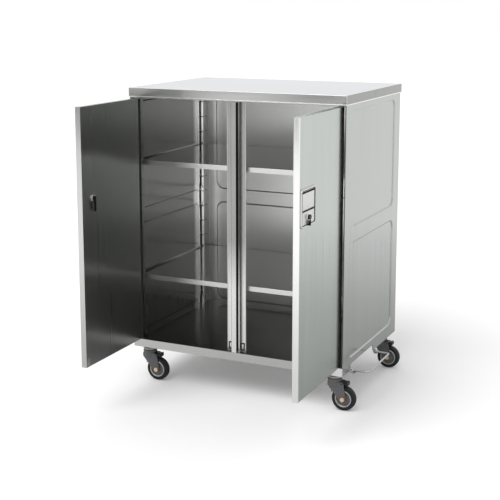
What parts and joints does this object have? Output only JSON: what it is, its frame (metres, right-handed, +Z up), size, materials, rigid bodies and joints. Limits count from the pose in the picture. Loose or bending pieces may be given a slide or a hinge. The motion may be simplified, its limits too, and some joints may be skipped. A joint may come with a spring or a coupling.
{
  "type": "cabinet trolley",
  "caption": "Stainless steel storage cabinet on braked swivel casters, with two hinged doors, a mullion, slotted posts, removable shelves, flush key-lock pulls and a fold-up tow loop.",
  "frame": {"origin": "on the floor under the centre of the cabinet body's plan", "axes": "+Z up, +X to the right as seen from the doors, +Y from the doors towards the back"},
  "size_m": [1.045, 1.113, 1.275],
  "materials": {
    "worktop_steel": "fine satin brushed stainless sheet",
    "panel_steel": "brushed stainless sheet",
    "lock_steel": "satin pressed stainless",
    "bright_rod": "bright plated steel",
    "zinc_steel": "dull zinc-plated steel",
    "caster_grey": "dark grey moulded plastic",
    "hinge_black": "black-coated steel tube",
    "black_plastic": "black moulded plastic",
    "grey_nylon": "natural nylon",
    "wheel_grey": "grey moulded plastic",
    "tyre_rubber": "black rubber tread",
    "brass_axle": "copper-coloured plated bolt"
  },
  "bodies": {
    "cabinet": {"top_panel": "worktop_steel", "base_pan": "panel_steel", "left_side_panel": "panel_steel", "right_side_panel": "panel_steel", "back_panel": "panel_steel", "header_rail": "panel_steel", "mullion": "panel_steel", "shelf_posts": "panel_steel", "upper_shelf": "panel_steel", "lower_shelf": "panel_steel", "shelf_clips": "zinc_steel", "door_pivot_bushes": "grey_nylon", "magnetic_catches": "black_plastic", "caster_channels": "panel_steel", "caster_mounts": "caster_grey", "caster_kingpins": "zinc_steel", "caster_bolts": "zinc_steel", "tow_loop_eyes": "panel_steel"},
    "tow_loop": {"tow_loop": "bright_rod"},
    "left_door": {"left_door_skin": "panel_steel", "left_door_liner": "panel_steel", "left_hinge_tube": "hinge_black", "left_pivot_plugs": "zinc_steel", "left_lock_plate": "lock_steel", "left_flap_pin": "zinc_steel", "left_lock_barrel": "bright_rod", "left_catch_keeper": "zinc_steel"},
    "left_flap": {"left_pull_flap": "lock_steel"},
    "left_lock": {"left_lock_cam": "zinc_steel"},
    "right_door": {"right_door_skin": "panel_steel", "right_door_liner": "panel_steel", "right_hinge_tube": "hinge_black", "right_pivot_plugs": "zinc_steel", "right_lock_plate": "lock_steel", "right_flap_pin": "zinc_steel", "right_lock_barrel": "bright_rod", "right_catch_keeper": "zinc_steel"},
    "right_flap": {"right_pull_flap": "lock_steel"},
    "right_lock": {"right_lock_cam": "zinc_steel"},
    "front_left_caster": {"front_left_fork": "caster_grey", "front_left_axle_bolt": "brass_axle"},
    "front_left_wheel": {"front_left_wheel_core": "wheel_grey", "front_left_tyre": "tyre_rubber"},
    "front_left_pedal": {"front_left_brake_pedal": "black_plastic"},
    "front_right_caster": {"front_right_fork": "caster_grey", "front_right_axle_bolt": "brass_axle"},
    "front_right_wheel": {"front_right_wheel_core": "wheel_grey", "front_right_tyre": "tyre_rubber"},
    "front_right_pedal": {"front_right_brake_pedal": "black_plastic"},
    "rear_left_caster": {"rear_left_fork": "caster_grey", "rear_left_axle_bolt": "brass_axle"},
    "rear_left_wheel": {"rear_left_wheel_core": "wheel_grey", "rear_left_tyre": "tyre_rubber"},
    "rear_left_pedal": {"rear_left_brake_pedal": "black_plastic"},
    "rear_right_caster": {"rear_right_fork": "caster_grey", "rear_right_axle_bolt": "brass_axle"},
    "rear_right_wheel": {"rear_right_wheel_core": "wheel_grey", "rear_right_tyre": "tyre_rubber"},
    "rear_right_pedal": {"rear_right_brake_pedal": "black_plastic"}
  },
  "joints": [
    {"name": "left_door_hinge", "type": "hinge", "parent": "cabinet", "child": "left_door", "pos_m": [-0.453, -0.327, 0.192], "axis": [0, 0, -1], "range_deg": [-90, 25]},
    {"name": "left_flap_hinge", "type": "hinge", "parent": "left_door", "child": "left_flap", "pos_m": [-0.465, -0.692, 0.959], "axis": [0, 1, 0], "range_deg": [0, 45]},
    {"name": "left_lock_turn", "type": "hinge", "parent": "left_door", "child": "left_lock", "pos_m": [-0.466, -0.692, 0.868], "axis": [-1, 0, 0], "range_deg": [0, 90]},
    {"name": "right_door_hinge", "type": "hinge", "parent": "cabinet", "child": "right_door", "pos_m": [0.453, -0.327, 0.192], "axis": [0, 0, 1], "range_deg": [-90, 25]},
    {"name": "right_flap_hinge", "type": "hinge", "parent": "right_door", "child": "right_flap", "pos_m": [0.465, -0.692, 0.959], "axis": [0, -1, 0], "range_deg": [0, 45]},
    {"name": "right_lock_turn", "type": "hinge", "parent": "right_door", "child": "right_lock", "pos_m": [0.466, -0.692, 0.868], "axis": [-1, 0, 0], "range_deg": [0, 90]},
    {"name": "front_left_swivel", "type": "hinge", "parent": "cabinet", "child": "front_left_caster", "pos_m": [-0.43, -0.29, 0.155], "axis": [0, 0, 1], "continuous": true},
    {"name": "front_left_wheel_spin", "type": "hinge", "parent": "front_left_caster", "child": "front_left_wheel", "pos_m": [-0.39, -0.29, 0.05], "axis": [0, 1, 0], "continuous": true},
    {"name": "front_left_brake", "type": "hinge", "parent": "front_left_caster", "child": "front_left_pedal", "pos_m": [-0.395, -0.29, 0.113], "axis": [0, 1, 0], "range_deg": [0, 12], "stiffness_Nm_per_rad": 0.4, "springref_deg": -8.59},
    {"name": "front_right_swivel", "type": "hinge", "parent": "cabinet", "child": "front_right_caster", "pos_m": [0.43, -0.29, 0.155], "axis": [0, 0, 1], "continuous": true},
    {"name": "front_right_wheel_spin", "type": "hinge", "parent": "front_right_caster", "child": "front_right_wheel", "pos_m": [0.47, -0.29, 0.05], "axis": [0, 1, 0], "continuous": true},
    {"name": "front_right_brake", "type": "hinge", "parent": "front_right_caster", "child": "front_right_pedal", "pos_m": [0.465, -0.29, 0.113], "axis": [0, 1, 0], "range_deg": [0, 12], "stiffness_Nm_per_rad": 0.4, "springref_deg": -8.59},
    {"name": "rear_left_swivel", "type": "hinge", "parent": "cabinet", "child": "rear_left_caster", "pos_m": [-0.43, 0.29, 0.155], "axis": [0, 0, 1], "continuous": true},
    {"name": "rear_left_wheel_spin", "type": "hinge", "parent": "rear_left_caster", "child": "rear_left_wheel", "pos_m": [-0.39, 0.29, 0.05], "axis": [0, 1, 0], "continuous": true},
    {"name": "rear_left_brake", "type": "hinge", "parent": "rear_left_caster", "child": "rear_left_pedal", "pos_m": [-0.395, 0.29, 0.113], "axis": [0, 1, 0], "range_deg": [0, 12], "stiffness_Nm_per_rad": 0.4, "springref_deg": -8.59},
    {"name": "rear_right_swivel", "type": "hinge", "parent": "cabinet", "child": "rear_right_caster", "pos_m": [0.43, 0.29, 0.155], "axis": [0, 0, 1], "continuous": true},
    {"name": "rear_right_wheel_spin", "type": "hinge", "parent": "rear_right_caster", "child": "rear_right_wheel", "pos_m": [0.47, 0.29, 0.05], "axis": [0, 1, 0], "continuous": true},
    {"name": "rear_right_brake", "type": "hinge", "parent": "rear_right_caster", "child": "rear_right_pedal", "pos_m": [0.465, 0.29, 0.113], "axis": [0, 1, 0], "range_deg": [0, 12], "stiffness_Nm_per_rad": 0.4, "springref_deg": -8.59},
    {"name": "tow_loop_fold", "type": "hinge", "parent": "cabinet", "child": "tow_loop", "pos_m": [0.488, -0.109, 0.155], "axis": [0, -1, 0], "range_deg": [0, 90]}
  ]
}
